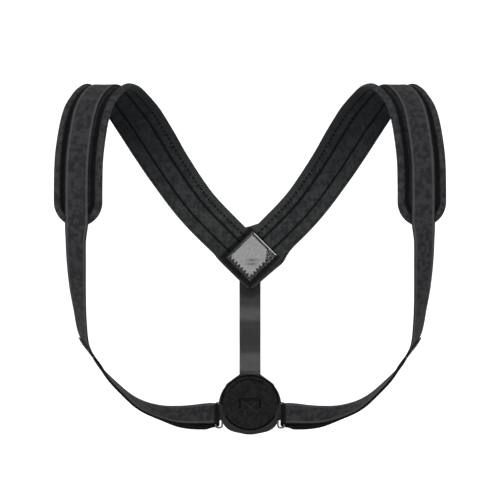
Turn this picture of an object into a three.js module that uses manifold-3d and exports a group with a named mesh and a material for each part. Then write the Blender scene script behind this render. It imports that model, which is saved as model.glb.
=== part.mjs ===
// Posture corrector: a figure-of-eight back brace in the shape that it has when it is worn.
// Millimetres, +Z up. The wearer faces -Y and left means -X.
// The origin lies midway between the shoulders, level with the underside of the pads on their crests.
import * as THREE from "three";
import { mergeVertices } from "three/addons/utils/BufferGeometryUtils.js";
import Module from "manifold-3d";

// Driving sizes of the form as worn
const shoulderHalf = 180; // centre plane to the middle of a pad in front
const bodyDepth = 165; // front pads to back pads, between the faces that touch the wearer
const frontDrop = 152.5; // shoulder crest down to the front end of a pad
const veeDrop = 190; // shoulder crest down to the middle of the junction of the pads
const waistDrop = 357; // shoulder crest down to the middle of the disc
const waistDepth = 85; // origin back to the middle of the disc
const waistLean = 25; // degrees that the disc and the rings lean with the small of the back

// Driving sizes of the pieces
const padWidth = 51.5;
const padThickness = 6;
const padEndLength = 26; // length of the rounded front end
const padEndThickness = 0.45; // thickness at the very end of a pad, as a share of the thickness
const padSeat = 0.58; // height of the channel that carries the webbing, as a share of the thickness
const veeTipTrim = 30.5; // junction middle down to the trimmed point of the V
const webWidth = 25;
const webThickness = 1.4;
const webStart = 7; // front end of a pad back to where the webbing leaves it
const patchSide = 40;
const patchThickness = 1.2;
const patchLift = 4.6; // middle of the patch above the middle of the junction
const discRadius = 35.6;
const discThickness = 8;
const discShoulder = 0.9; // height of the shoulder where the back strap goes in
const discFullness = 3; // how far the lower edge swells on each side
const ringWire = 2.2;
const ringHeight = 32.4;
const ringWidth = 9.6;
const ringDrop = 13; // disc middle down to the ring middle, along the disc
const ringInset = 3.3; // how far the ring's inner bar lies inside the disc's edge
const ringCorner = 2.6; // radius of a ring's corners, at the middle of its wire
const tabHeight = 14;
const tabThickness = 1.2;
const tabLift = 4; // ring middle up to the middle of the loop that holds it
const tabHold = 1.4; // how far the loop runs into the disc past the ring's clearance
const backStrapOverlap = 26; // how far the back strap runs up behind the junction
const backStrapSink = 14; // how far the back strap goes into the disc
const returnDrop = 278; // shoulder crest down to the end of the webbing that comes back from the ring
const returnSkew = 3; // sideways step of the webbing as it turns round the ring
const returnNear = 34; // distance from the ring at which the two layers of webbing lie together
const returnStraight = 75; // distance from the ring at which they lie edge to edge
const gap = 0.3; // clearance between pieces

const wasm = await Module();
wasm.setup();

const X = new THREE.Vector3(1, 0, 0);
const degrees = THREE.MathUtils.degToRad;
const smooth = THREE.MathUtils.smoothstep;

function table(columns, rows) {
  return rows.map((row) => Object.fromEntries(columns.map((name, i) => [name, row[i]])));
}

// Pad from its front end up to the crest. across is a share of shoulderHalf, back of bodyDepth and
// down of frontDrop. pitch turns the outer face from forward (0) over up (90) to backward (180) and
// lean tilts it sideways, both in degrees. wide is a share of padWidth, and web is how far the webbing
// lies outward of the pad's middle, also as a share of padWidth.
const padColumns = ["across", "back", "down", "pitch", "lean", "wide", "web"];
const padFront = table(padColumns, [
  [0.998, -0.446, 1.0, 0, 3, 1.0, 0.023],
  [0.998, -0.454, 0.72, 1, 3, 1.0, 0.023],
  [0.994, -0.451, 0.543, 5, 3, 1.0, 0.023],
  [0.985, -0.434, 0.425, 13, 3, 1.0, 0.023],
  [0.97, -0.391, 0.285, 25, 3, 1.0, 0.028],
  [0.955, -0.336, 0.192, 40, 2, 1.0, 0.035],
  [0.935, -0.258, 0.119, 55, 2, 1.0, 0.045],
  [0.907, -0.164, 0.053, 72, -1, 1.02, 0.055],
  [0.865, -0.03, 0.0, 90, -2, 1.05, 0.06],
]);

// Pad from the crest down the back to the junction and a little beyond. down is a share of veeDrop.
const padBack = table(padColumns, [
  [0.817, 0.097, 0.018, 112, -1, 1.08, 0.055],
  [0.761, 0.218, 0.087, 130, 4, 1.1, 0.04],
  [0.7, 0.315, 0.166, 143, 7, 1.1, 0.02],
  [0.613, 0.4, 0.296, 155, 8, 1.07, 0],
  [0.524, 0.461, 0.431, 164, 7, 1.02, 0],
  [0.344, 0.512, 0.668, 172, 4, 0.96, 0],
  [0.124, 0.5395, 0.883, 176, 0, 0.94, 0],
  [0.0, 0.5479, 1.0, 176, 0, 0.94, 0],
  [-0.124, 0.5563, 1.117, 176, 0, 0.94, 0],
]);

// Free run of the webbing from the pad's front end to the ring. across is a share of shoulderHalf,
// back of bodyDepth and down of waistDrop. turn swings the outer face from forward (0) to the side
// (90) and to the back (180) and dip tips it down, both in degrees.
const strapRun = table(["across", "back", "down", "turn", "dip"], [
  [1.011, -0.482, 0.466, 24, 7],
  [1.012, -0.452, 0.53, 30, 14],
  [1.011, -0.386, 0.617, 43, 19],
  [1.008, -0.297, 0.687, 57, 23],
  [1.002, -0.147, 0.766, 68, 27],
  [0.978, -0.06, 0.803, 75, 33],
  [0.944, 0.02, 0.833, 80, 35],
  [0.904, 0.133, 0.879, 83, 37],
  [0.828, 0.248, 0.93, 90, 40],
  [0.736, 0.357, 0.98, 100, 44],
  [0.66, 0.418, 1.005, 117, 51],
  [0.56, 0.461, 1.023, 143, 52],
  [0.474, 0.479, 1.03, 166, 44],
  [0.374, 0.476, 1.03, 176, 35],
]);

// Cross-section of a pad. across runs from the outer edge (1) to the inner edge (-1) as a share of the
// half width and rise is a share of the thickness above the face that touches the wearer.
const padSection = table(["across", "rise"], [
  [1.0, 0.42],
  [0.95, 0.82],
  [0.86, 1.0],
  [0.77, 0.86],
  [0.7, 0.4],
  [0.6, 0.4],
  [0.55, padSeat],
  [-0.51, padSeat],
  [-0.56, 0.4],
  [-0.66, 0.4],
  [-0.74, 0.86],
  [-0.85, 1.0],
  [-0.95, 0.82],
  [-1.0, 0.42],
  [-0.95, 0.08],
  [-0.78, 0.0],
  [0.78, 0.0],
  [0.95, 0.08],
]);

// Half thickness of the disc at shares of its radius
const discSection = table(["out", "rise"], [
  [0.3, 1.0],
  [0.62, 1.0],
  [0.76, 0.92],
  [0.83, 0.74],
  [0.87, 0.5],
  [0.91, 0.62],
  [0.96, 0.54],
  [1.0, 0.24],
]);

function padPoint(row, drop) {
  return new THREE.Vector3(-row.across * shoulderHalf, row.back * bodyDepth, -row.down * drop);
}

function padFacing(row) {
  const pitch = degrees(row.pitch);
  const lean = degrees(row.lean);
  const flat = Math.cos(lean);
  return new THREE.Vector3(-Math.sin(lean), -Math.cos(pitch) * flat, Math.sin(pitch) * flat);
}

function strapFacing(row) {
  const turn = degrees(row.turn);
  const dip = degrees(row.dip);
  return new THREE.Vector3(-Math.sin(turn) * Math.cos(dip), -Math.cos(turn) * Math.cos(dip), -Math.sin(dip));
}

// A smooth course through points, with the direction that its outer face looks in
function course(points, facings) {
  const path = new THREE.CatmullRomCurve3(points, false, "centripetal");
  const facing = new THREE.CatmullRomCurve3(facings, false, "centripetal");
  path.arcLengthDivisions = 600;
  return { path, facing, length: path.getLength() };
}

// Position, width direction and outward direction of a course at a length along it
function frameAt(line, length) {
  const share = THREE.MathUtils.clamp(length / line.length, 0, 1);
  const place = line.path.getUtoTmapping(share);
  const along = line.path.getTangent(place);
  const side = new THREE.Vector3().crossVectors(line.facing.getPoint(place), along).normalize();
  const out = new THREE.Vector3().crossVectors(along, side).normalize();
  return { at: line.path.getPoint(place), side, out };
}

function evenLengths(from, to, step) {
  const count = Math.max(2, Math.round((to - from) / step));
  return Array.from({ length: count + 1 }, (_, i) => from + ((to - from) * i) / count);
}

// A closed body through rings of points, with flat ends or joined end to end
function loft(rings, joined = false) {
  const size = rings[0].length;
  const positions = rings.flat().flatMap((point) => point.toArray());
  const faces = [];
  const spans = joined ? rings.length : rings.length - 1;
  for (let i = 0; i < spans; i++) {
    const next = (i + 1) % rings.length;
    for (let j = 0; j < size; j++) {
      const k = (j + 1) % size;
      faces.push(i * size + j, i * size + k, next * size + k);
      faces.push(i * size + j, next * size + k, next * size + j);
    }
  }
  if (!joined) {
    const last = (rings.length - 1) * size;
    for (const [a, b, c] of capFaces(rings[0])) {
      faces.push(c, b, a);
    }
    for (const [a, b, c] of capFaces(rings[rings.length - 1])) {
      faces.push(last + a, last + b, last + c);
    }
  }
  const geometry = new THREE.BufferGeometry();
  geometry.setAttribute("position", new THREE.Float32BufferAttribute(positions, 3));
  geometry.setIndex(faces);
  return turnedOut(geometry);
}

// Triangles of a flat ring of points
function capFaces(ring) {
  const middle = ring.reduce((sum, point) => sum.add(point), new THREE.Vector3()).divideScalar(ring.length);
  const normal = new THREE.Vector3();
  ring.forEach((point, j) => {
    const next = ring[(j + 1) % ring.length];
    normal.add(new THREE.Vector3().crossVectors(point.clone().sub(middle), next.clone().sub(middle)));
  });
  normal.normalize();
  const u = ring[0].clone().sub(middle).projectOnPlane(normal).normalize();
  const v = new THREE.Vector3().crossVectors(normal, u);
  const flat = ring.map((point) => {
    const from = point.clone().sub(middle);
    return new THREE.Vector2(from.dot(u), from.dot(v));
  });
  return THREE.ShapeUtils.triangulateShape(flat, []);
}

// Faces turned outward, whatever way the rings ran
function turnedOut(geometry) {
  const place = geometry.getAttribute("position");
  const index = geometry.getIndex().array;
  const [a, b, c] = [new THREE.Vector3(), new THREE.Vector3(), new THREE.Vector3()];
  let volume = 0;
  for (let i = 0; i < index.length; i += 3) {
    a.fromBufferAttribute(place, index[i]);
    b.fromBufferAttribute(place, index[i + 1]);
    c.fromBufferAttribute(place, index[i + 2]);
    volume += a.dot(b.cross(c));
  }
  if (volume < 0) {
    for (let i = 0; i < index.length; i += 3) {
      [index[i + 1], index[i + 2]] = [index[i + 2], index[i + 1]];
    }
  }
  return geometry;
}

function solid(geometry) {
  const bare = geometry.clone();
  bare.deleteAttribute("normal");
  bare.deleteAttribute("uv");
  const merged = mergeVertices(bare, 1e-4);
  const vertProperties = new Float32Array(merged.getAttribute("position").array);
  const triVerts = new Uint32Array(merged.getIndex().array);
  return new wasm.Manifold(new wasm.Mesh({ numProp: 3, vertProperties, triVerts }));
}

function geometryOf(body) {
  const mesh = body.getMesh();
  const geometry = new THREE.BufferGeometry();
  geometry.setAttribute("position", new THREE.BufferAttribute(new Float32Array(mesh.vertProperties), 3));
  geometry.setIndex(new THREE.BufferAttribute(new Uint32Array(mesh.triVerts), 1));
  return geometry;
}

function box(low, high) {
  const size = new THREE.Vector3().subVectors(high, low);
  const middle = new THREE.Vector3().addVectors(low, high).multiplyScalar(0.5);
  return new THREE.BoxGeometry(size.x, size.y, size.z).translate(middle.x, middle.y, middle.z);
}

// The two pads and the webbing on them meet at the centre plane and end at the trimmed point of the V
function trimmedAtCentre(geometry) {
  const reach = 2 * shoulderHalf;
  const tip = -veeDrop - veeTipTrim;
  const beyond = box(new THREE.Vector3(-gap / 2, -reach, -reach * 2), new THREE.Vector3(reach, reach, reach));
  const below = box(
    new THREE.Vector3(-padWidth / 2, 0, tip - reach),
    new THREE.Vector3(reach, reach, tip),
  );
  return geometryOf(solid(geometry).subtract(solid(beyond)).subtract(solid(below)));
}

const padLine = course(
  [...padFront.map((row) => padPoint(row, frontDrop)), ...padBack.map((row) => padPoint(row, veeDrop))],
  [...padFront, ...padBack].map(padFacing),
);
const padRows = [...padFront, ...padBack];

// Value of one of the pad table's columns at a length along the pad
function padShare(column, length) {
  const place = padLine.path.getUtoTmapping(length / padLine.length) * (padRows.length - 1);
  const low = Math.min(Math.floor(place), padRows.length - 2);
  return THREE.MathUtils.lerp(padRows[low][column], padRows[low + 1][column], place - low);
}

const padStep = 8;
const endSteps = 6;
const roundLengths = Array.from(
  { length: endSteps },
  (_, i) => padEndLength * (1 - Math.cos((((i + 0.6) / endSteps) * Math.PI) / 2)),
);
const padLengths = [...roundLengths, ...evenLengths(padEndLength, padLine.length, padStep)];

// Share of the full width and thickness that a pad keeps near its rounded end
function endShare(length) {
  const inset = Math.max(0, 1 - length / padEndLength);
  return Math.sqrt(1 - inset * inset);
}

function padGeometry() {
  const rings = padLengths.map((length) => {
    const { at, side, out } = frameAt(padLine, length);
    const half = (padWidth / 2) * padShare("wide", length) * endShare(length);
    const thick = padThickness * THREE.MathUtils.lerp(padEndThickness, 1, endShare(length));
    const bands = smooth(length, padEndLength / 4, padEndLength);
    return padSection.map((row) => {
      const rise = row.rise - Math.max(0, row.rise - padSeat) * (1 - bands);
      return at.clone().addScaledVector(side, half * row.across).addScaledVector(out, thick * rise);
    });
  });
  return trimmedAtCentre(loft(rings));
}

// The disc stands in its own leaning frame, with its middle at the origin of that frame
const discFrame = new THREE.Group();
discFrame.position.set(0, waistDepth, -waistDrop);
discFrame.rotation.x = -degrees(waistLean);
discFrame.updateMatrixWorld(true);

function fromDisc(x, y, z) {
  return new THREE.Vector3(x, y, z).applyMatrix4(discFrame.matrixWorld);
}

const discOut = new THREE.Vector3(0, 1, 0).transformDirection(discFrame.matrixWorld);
const discUp = new THREE.Vector3(0, 0, 1).transformDirection(discFrame.matrixWorld);
const innerBar = discRadius - ringInset;
const outerBar = innerBar + ringWidth - ringWire;
const turnRadius = ringWire / 2 + gap + webThickness / 2;
const tabRoot = innerBar - ringWire / 2 - gap - tabThickness - tabHold;

// Frames of the webbing on the pad, from the junction down to the pad's front end
function sewnFrames() {
  const seat = padThickness * padSeat + gap + webThickness / 2;
  return padLengths.filter((length) => length > webStart).reverse().map((length) => {
    const { at, side, out } = frameAt(padLine, length);
    const aside = padWidth * padShare("web", length);
    const place = at.clone().addScaledVector(out, seat).addScaledVector(side, aside);
    return { at: place, side: side.negate(), out };
  });
}

// Frames of the webbing as it turns round the ring's outer bar
function turnFrames() {
  const turns = 6;
  return Array.from({ length: turns - 1 }, (_, i) => {
    const share = (i + 1) / turns;
    const angle = share * Math.PI;
    const centre = fromDisc(-outerBar, 0, -ringDrop).addScaledVector(discUp, returnSkew * (0.5 - share));
    const out = discOut.clone().multiplyScalar(Math.cos(angle)).addScaledVector(X, -Math.sin(angle));
    return { at: centre.addScaledVector(out, -turnRadius), side: discUp.clone().negate(), out };
  });
}

// Frames of the webbing that comes back from the ring on the outside of the run that went to it
function returnFrames(run, ringPoint) {
  return run.filter((frame) => frame.at.z < -returnDrop).reverse().map((frame) => {
    const away = frame.at.distanceTo(ringPoint);
    const together = smooth(away, 2 * ringWire, returnNear);
    const apart = THREE.MathUtils.lerp(2 * turnRadius, webThickness + gap, together);
    const stepped = (1 + smooth(away, 0, webWidth / 2)) * (1 - smooth(away, webWidth, returnStraight));
    const at = frame.at.clone().addScaledVector(frame.out, apart);
    at.addScaledVector(frame.side, returnSkew * stepped);
    return { at, side: frame.side, out: frame.out.clone().negate() };
  });
}

// Frames of the webbing, from the junction over the pad, down and round to the ring and back
function strapFrames() {
  const onPad = sewnFrames();
  const lead = onPad.slice(-2);
  const ringPoint = fromDisc(-outerBar, -turnRadius, -ringDrop).addScaledVector(discUp, returnSkew / 2);
  const near = ringPoint.clone().addScaledVector(X, -ringWidth);
  const rows = strapRun.map(
    (row) => new THREE.Vector3(-row.across * shoulderHalf, row.back * bodyDepth, -row.down * waistDrop),
  );
  const line = course(
    [...lead.map((frame) => frame.at), ...rows, near, ringPoint],
    [...lead.map((frame) => frame.out), ...strapRun.map(strapFacing), discOut.clone(), discOut.clone()],
  );
  const leadLength = lead[1].at.distanceTo(lead[0].at);
  const runStep = 7;
  const run = evenLengths(leadLength, line.length, runStep).slice(1).map((length) => frameAt(line, length));
  return [...onPad, ...run, ...turnFrames(), ...returnFrames(run, ringPoint)];
}

function webRings(frames) {
  return frames.map(({ at, side, out }) => {
    const corners = [[1, 1], [1, -1], [-1, -1], [-1, 1]];
    return corners.map(([wide, thick]) => {
      const edge = at.clone().addScaledVector(side, (wide * webWidth) / 2);
      return edge.addScaledVector(out, (thick * webThickness) / 2);
    });
  });
}

function strapGeometry() {
  return trimmedAtCentre(loft(webRings(strapFrames())));
}

// Frame of the flat junction, at its middle on the face that touches the wearer
const junctionRow = padBack.find((row) => row.across === 0);
const junctionAt = new THREE.Vector3(0, junctionRow.back * bodyDepth, -veeDrop);
const junctionTilt = degrees(180 - junctionRow.pitch);
const junctionOut = new THREE.Vector3(0, Math.cos(junctionTilt), Math.sin(junctionTilt));
const junctionUp = new THREE.Vector3(0, -Math.sin(junctionTilt), Math.cos(junctionTilt));

function fromJunction(x, out, up) {
  const aside = junctionAt.clone().addScaledVector(X, x);
  return aside.addScaledVector(junctionOut, out).addScaledVector(junctionUp, up);
}

function patchGeometry() {
  const half = patchSide / Math.SQRT2;
  const corners = [[half, 0], [0, half], [-half, 0], [0, -half]];
  const levels = [-gap, -gap - patchThickness];
  return loft(levels.map((level) => corners.map(([x, up]) => fromJunction(x, level, up + patchLift))));
}

function backStrapGeometry() {
  const level = padThickness + gap + webThickness / 2;
  const top = fromJunction(0, level, backStrapOverlap);
  const foot = fromJunction(0, level, -veeTipTrim);
  const lead = fromDisc(0, 0, discRadius + backStrapSink);
  const entry = fromDisc(0, 0, discRadius + gap);
  const end = fromDisc(0, 0, discRadius - backStrapSink);
  const line = course(
    [top, fromJunction(0, level, 0), foot, lead, entry, end],
    [junctionOut, junctionOut, junctionOut, discOut, discOut, discOut].map((facing) => facing.clone()),
  );
  const step = 8;
  return loft(webRings(evenLengths(0, line.length, step).map((length) => frameAt(line, length))));
}

// Outline of the disc: round, with a low shoulder where the back strap goes in and a fuller lower edge
// on each side under the rings
function discReach(angle) {
  const slopeAngle = degrees(38);
  const shoulderEnd = degrees(50);
  const fullestAngle = degrees(135);
  const fullSpread = degrees(30);
  const fromTop = Math.abs(angle);
  const full = Math.max(0, 1 - ((fromTop - fullestAngle) / fullSpread) ** 2);
  if (fromTop > shoulderEnd) {
    return discRadius + discFullness * full ** 2;
  }
  const top = (discRadius + discShoulder) / Math.cos(fromTop);
  const slope = (discRadius + discShoulder / 2) / Math.cos(fromTop - slopeAngle);
  return Math.max(discRadius, Math.min(top, slope));
}

function discGeometry() {
  const spokes = 56;
  const points = [new THREE.Vector3(0, -discThickness / 2, 0), new THREE.Vector3(0, discThickness / 2, 0)];
  const sides = [-1, 1];
  const ringStart = (side, i) => 2 + (side * discSection.length + i) * spokes;
  for (const side of sides) {
    for (const row of discSection) {
      for (let j = 0; j < spokes; j++) {
        const angle = (j / spokes) * 2 * Math.PI - Math.PI;
        const out = discReach(angle) * row.out;
        const rise = (side * row.rise * discThickness) / 2;
        points.push(new THREE.Vector3(out * Math.sin(angle), rise, out * Math.cos(angle)));
      }
    }
  }
  const faces = [];
  for (const side of [0, 1]) {
    for (let j = 0; j < spokes; j++) {
      const k = (j + 1) % spokes;
      const flip = side === 1;
      const add = (a, b, c) => faces.push(...(flip ? [a, c, b] : [a, b, c]));
      add(side, ringStart(side, 0) + j, ringStart(side, 0) + k);
      for (let i = 0; i < discSection.length - 1; i++) {
        add(ringStart(side, i) + j, ringStart(side, i + 1) + j, ringStart(side, i + 1) + k);
        add(ringStart(side, i) + j, ringStart(side, i + 1) + k, ringStart(side, i) + k);
      }
    }
  }
  const rim = discSection.length - 1;
  for (let j = 0; j < spokes; j++) {
    const k = (j + 1) % spokes;
    faces.push(ringStart(0, rim) + j, ringStart(1, rim) + j, ringStart(1, rim) + k);
    faces.push(ringStart(0, rim) + j, ringStart(1, rim) + k, ringStart(0, rim) + k);
  }
  const positions = points.flatMap((point) => point.toArray());
  const geometry = new THREE.BufferGeometry();
  geometry.setAttribute("position", new THREE.Float32BufferAttribute(positions, 3));
  geometry.setIndex(faces);
  let body = solid(turnedOut(geometry));
  const slotHalf = webThickness / 2 + gap;
  const slot = box(
    new THREE.Vector3(-webWidth / 2 - gap, -slotHalf, discRadius - backStrapSink - gap),
    new THREE.Vector3(webWidth / 2 + gap, slotHalf, discRadius * 2),
  );
  body = body.subtract(solid(slot));
  for (const side of sides) {
    const notch = box(
      new THREE.Vector3(tabRoot - gap, -discThickness, -ringDrop - tabHeight / 2 + tabLift - gap),
      new THREE.Vector3(discRadius * 2, discThickness, -ringDrop + tabHeight / 2 + tabLift + gap),
    );
    const bar = box(
      new THREE.Vector3(innerBar - ringWire / 2 - gap, -discThickness, -ringDrop - ringHeight / 2 - gap),
      new THREE.Vector3(discRadius * 2, discThickness, -ringDrop + ringHeight / 2 + gap),
    );
    for (const cut of [notch, bar]) {
      body = body.subtract(solid(side > 0 ? cut : cut.rotateZ(Math.PI)));
    }
  }
  return geometryOf(body);
}

// The webbing loop round the ring's inner bar, in the disc's frame, on the +X side
function tabGeometry() {
  const inner = ringWire / 2 + gap;
  const reach = outerBar - turnRadius - webThickness / 2 - gap - tabThickness;
  const steps = 6;
  const rings = [];
  const low = -ringDrop - tabHeight / 2 + tabLift;
  const section = (x, y, nx, ny) => [
    new THREE.Vector3(x, y, low),
    new THREE.Vector3(x, y, low + tabHeight),
    new THREE.Vector3(x + nx * tabThickness, y + ny * tabThickness, low + tabHeight),
    new THREE.Vector3(x + nx * tabThickness, y + ny * tabThickness, low),
  ];
  rings.push(section(tabRoot, -inner, 0, -1));
  for (let i = 0; i <= steps; i++) {
    const angle = -Math.PI / 2 + (i / steps) * Math.PI;
    const [nx, ny] = [Math.cos(angle), Math.sin(angle)];
    rings.push(section(innerBar + (reach - innerBar) * nx, inner * ny, nx, ny));
  }
  rings.push(section(tabRoot, inner, 0, 1));
  return loft(rings);
}

// A wire ring with rounded corners, in the disc's frame, on the +X side
function ringGeometry() {
  const halfWide = (ringWidth - ringWire) / 2;
  const halfHigh = (ringHeight - ringWire) / 2;
  const middle = innerBar + halfWide;
  const wireSides = 8;
  const cornerSteps = 4;
  const rings = [];
  for (let quarter = 0; quarter < 4; quarter++) {
    const [sx, sz] = [[1, 1], [-1, 1], [-1, -1], [1, -1]][quarter];
    for (let i = 0; i <= cornerSteps; i++) {
      const angle = ((quarter + i / cornerSteps) * Math.PI) / 2;
      const out = new THREE.Vector3(Math.cos(angle), 0, Math.sin(angle));
      const [x, z] = [middle + sx * (halfWide - ringCorner), -ringDrop + sz * (halfHigh - ringCorner)];
      const at = new THREE.Vector3(x, 0, z).addScaledVector(out, ringCorner);
      rings.push(Array.from({ length: wireSides }, (_, j) => {
        const around = (j / wireSides) * 2 * Math.PI;
        const from = out.clone().multiplyScalar(Math.cos(around)).setY(Math.sin(around));
        return at.clone().addScaledVector(from, ringWire / 2);
      }));
    }
  }
  return loft(rings, true);
}

const fabric = new THREE.MeshStandardMaterial({ color: 0x2f3234, roughness: 0.95, metalness: 0 });
const webbing = new THREE.MeshStandardMaterial({ color: 0x404144, roughness: 0.7, metalness: 0 });
const leather = new THREE.MeshStandardMaterial({ color: 0x26282b, roughness: 0.25, metalness: 0 });
const disc = new THREE.MeshStandardMaterial({ color: 0x232424, roughness: 0.9, metalness: 0 });
const steel = new THREE.MeshStandardMaterial({ color: 0xa8a8a6, roughness: 0.3, metalness: 1 });

function piece(name, geometry, material) {
  const mesh = new THREE.Mesh(geometry, material);
  mesh.name = name;
  return mesh;
}

const brace = new THREE.Group();
const padShape = padGeometry();
const strapShape = strapGeometry();
const ringShape = ringGeometry();
const tabShape = tabGeometry();

for (const [side, mirror] of [["left", 1], ["right", -1]]) {
  const half = new THREE.Group();
  half.scale.x = mirror;
  half.add(piece(`pad_${side}`, padShape, fabric));
  half.add(piece(`side_strap_${side}`, strapShape, webbing));
  const hardware = new THREE.Group();
  hardware.scale.x = -1;
  hardware.add(piece(`ring_${side}`, ringShape, steel));
  hardware.add(piece(`ring_tab_${side}`, tabShape, webbing));
  const leaning = new THREE.Group();
  leaning.position.copy(discFrame.position);
  leaning.rotation.copy(discFrame.rotation);
  leaning.add(hardware);
  half.add(leaning);
  brace.add(half);
}

brace.add(piece("centre_patch", patchGeometry(), leather));
brace.add(piece("back_strap", backStrapGeometry(), webbing));
discFrame.add(piece("back_disc", discGeometry(), disc));
brace.add(discFrame);

export default brace;
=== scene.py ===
# Posture corrector: the looks of a figure-of-eight back brace, in the shape that it has when it is worn.
# Sizes are millimetres until a mesh is made. The wearer faces -Y and left means -X.
import math
import bmesh
import bpy
import numpy as np
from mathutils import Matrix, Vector


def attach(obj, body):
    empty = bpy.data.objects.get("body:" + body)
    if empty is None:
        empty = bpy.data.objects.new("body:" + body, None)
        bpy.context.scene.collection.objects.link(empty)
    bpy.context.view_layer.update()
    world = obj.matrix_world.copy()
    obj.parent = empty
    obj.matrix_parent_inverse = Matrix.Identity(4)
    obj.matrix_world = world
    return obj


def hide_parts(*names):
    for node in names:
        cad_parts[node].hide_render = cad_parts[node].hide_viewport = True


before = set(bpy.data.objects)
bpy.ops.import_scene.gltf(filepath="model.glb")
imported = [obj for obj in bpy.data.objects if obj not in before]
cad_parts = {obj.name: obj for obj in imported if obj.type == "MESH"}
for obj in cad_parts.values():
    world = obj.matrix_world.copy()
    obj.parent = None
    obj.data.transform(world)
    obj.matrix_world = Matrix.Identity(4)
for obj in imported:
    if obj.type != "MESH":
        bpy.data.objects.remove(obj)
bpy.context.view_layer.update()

MM = 0.001

# Form as worn
SHOULDER_HALF = 180
BODY_DEPTH = 165
FRONT_DROP = 152.5
VEE_DROP = 190
WAIST_DROP = 357
WAIST_DEPTH = 85
WAIST_LEAN = math.radians(25)

# Pieces
PAD_WIDTH = 51.5
PAD_THICKNESS = 6
PAD_END_LENGTH = 26
PAD_SEAT = 0.58
VEE_TIP_TRIM = 30.5
VEE_TIP_RADIUS = 12
WEB_WIDTH = 25
WEB_THICKNESS = 1.4
PATCH_SIDE = 40
PATCH_THICKNESS = 1.2
PATCH_LIFT = 4.6
DISC_RADIUS = 35.6
DISC_THICKNESS = 8
DISC_SHOULDER = 0.9
DISC_FULLNESS = 3
DISC_SWELL = 0.8
RING_WIRE = 2.2
RING_HEIGHT = 32.4
RING_WIDTH = 9.6
RING_DROP = 13
RING_INSET = 3.3
RING_CORNER = 2.6
TAB_HEIGHT = 19
TAB_THICKNESS = 1.2
TAB_LIFT = 3.7
TAB_COVER = 1.4
BACK_STRAP_OVERLAP = 26
BACK_STRAP_SINK = 14
RETURN_DROP = 278
RETURN_SKEW = 3
GAP = 0.3
SEAM_GAP = 0.02

# Pad from its front end to the crest: shares of SHOULDER_HALF, BODY_DEPTH and FRONT_DROP, then the pitch
# and the lean of its outer face in degrees, and shares of PAD_WIDTH: how wide the pad is and how far the
# webbing lies outward of its middle
ACROSS, BACK, DOWN, PITCH, LEAN, WIDE, WEB = range(7)
PAD_FRONT = [
    [0.998, -0.446, 1.0, 0, 3, 1.0, 0.023],
    [0.998, -0.454, 0.72, 1, 3, 1.0, 0.023],
    [0.994, -0.451, 0.543, 5, 3, 1.0, 0.023],
    [0.985, -0.434, 0.425, 13, 3, 1.0, 0.023],
    [0.97, -0.391, 0.285, 25, 3, 1.0, 0.028],
    [0.955, -0.336, 0.192, 40, 2, 1.0, 0.035],
    [0.935, -0.258, 0.119, 55, 2, 1.0, 0.045],
    [0.907, -0.164, 0.053, 72, -1, 1.02, 0.055],
    [0.865, -0.03, 0.0, 90, -2, 1.05, 0.06],
]

# Pad from the crest to the junction: the third column is a share of VEE_DROP
PAD_BACK = [
    [0.817, 0.097, 0.018, 112, -1, 1.08, 0.055],
    [0.761, 0.218, 0.087, 130, 4, 1.1, 0.04],
    [0.7, 0.315, 0.166, 143, 7, 1.1, 0.02],
    [0.613, 0.4, 0.296, 155, 8, 1.07, 0],
    [0.524, 0.461, 0.431, 164, 7, 1.02, 0],
    [0.344, 0.512, 0.668, 172, 4, 0.96, 0],
    [0.124, 0.5395, 0.883, 176, 0, 0.94, 0],
    [0.0, 0.5479, 1.0, 176, 0, 0.94, 0],
    [-0.124, 0.5563, 1.117, 176, 0, 0.94, 0],
]

# Free run of the webbing: shares of SHOULDER_HALF, BODY_DEPTH and WAIST_DROP, then the turn and the dip
# of its outer face in degrees
TURN, DIP = 3, 4
STRAP_RUN = [
    [1.011, -0.482, 0.466, 24, 7],
    [1.012, -0.452, 0.53, 30, 14],
    [1.011, -0.386, 0.617, 43, 19],
    [1.008, -0.297, 0.687, 57, 23],
    [1.002, -0.147, 0.766, 68, 27],
    [0.978, -0.06, 0.803, 75, 33],
    [0.944, 0.02, 0.833, 80, 35],
    [0.904, 0.133, 0.879, 83, 37],
    [0.828, 0.248, 0.93, 90, 40],
    [0.736, 0.357, 0.98, 100, 44],
    [0.66, 0.418, 1.005, 117, 51],
    [0.56, 0.461, 1.023, 143, 52],
    [0.474, 0.479, 1.03, 166, 44],
    [0.374, 0.476, 1.03, 176, 35],
]

# Height of a pad's outer face at a share of the half width in from its edge, on each side of the webbing
BAND_OUTER = [[0, 0.42], [0.025, 0.66], [0.06, 0.86], [0.12, 1.0], [0.19, 0.96], [0.24, 0.78],
              [0.28, 0.42], [0.33, 0.33], [0.4, 0.35], [0.45, PAD_SEAT]]
BAND_INNER = [[0, 0.42], [0.025, 0.66], [0.06, 0.86], [0.13, 1.0], [0.22, 0.96], [0.28, 0.78],
              [0.32, 0.42], [0.38, 0.33], [0.46, 0.35], [0.52, PAD_SEAT]]

# Height of the face that touches the wearer
LINING_EDGE = [[0, 0.42], [0.015, 0.24], [0.04, 0.1], [0.08, 0.02], [0.12, 0.0]]

# Sewn lines of the lining: place as a share from the inner edge (-1) to the outer edge (1), half width
# in millimetres and depth as a share of the thickness
LINING_GROOVES = [[0.38, 1.2, 0.24], [-0.32, 1.35, 0.27], [-0.66, 1.15, 0.22], [0.88, 0.55, 0.1]]
DASHED_GROOVE = -0.66
DASH_PITCH = 5.5

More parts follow.
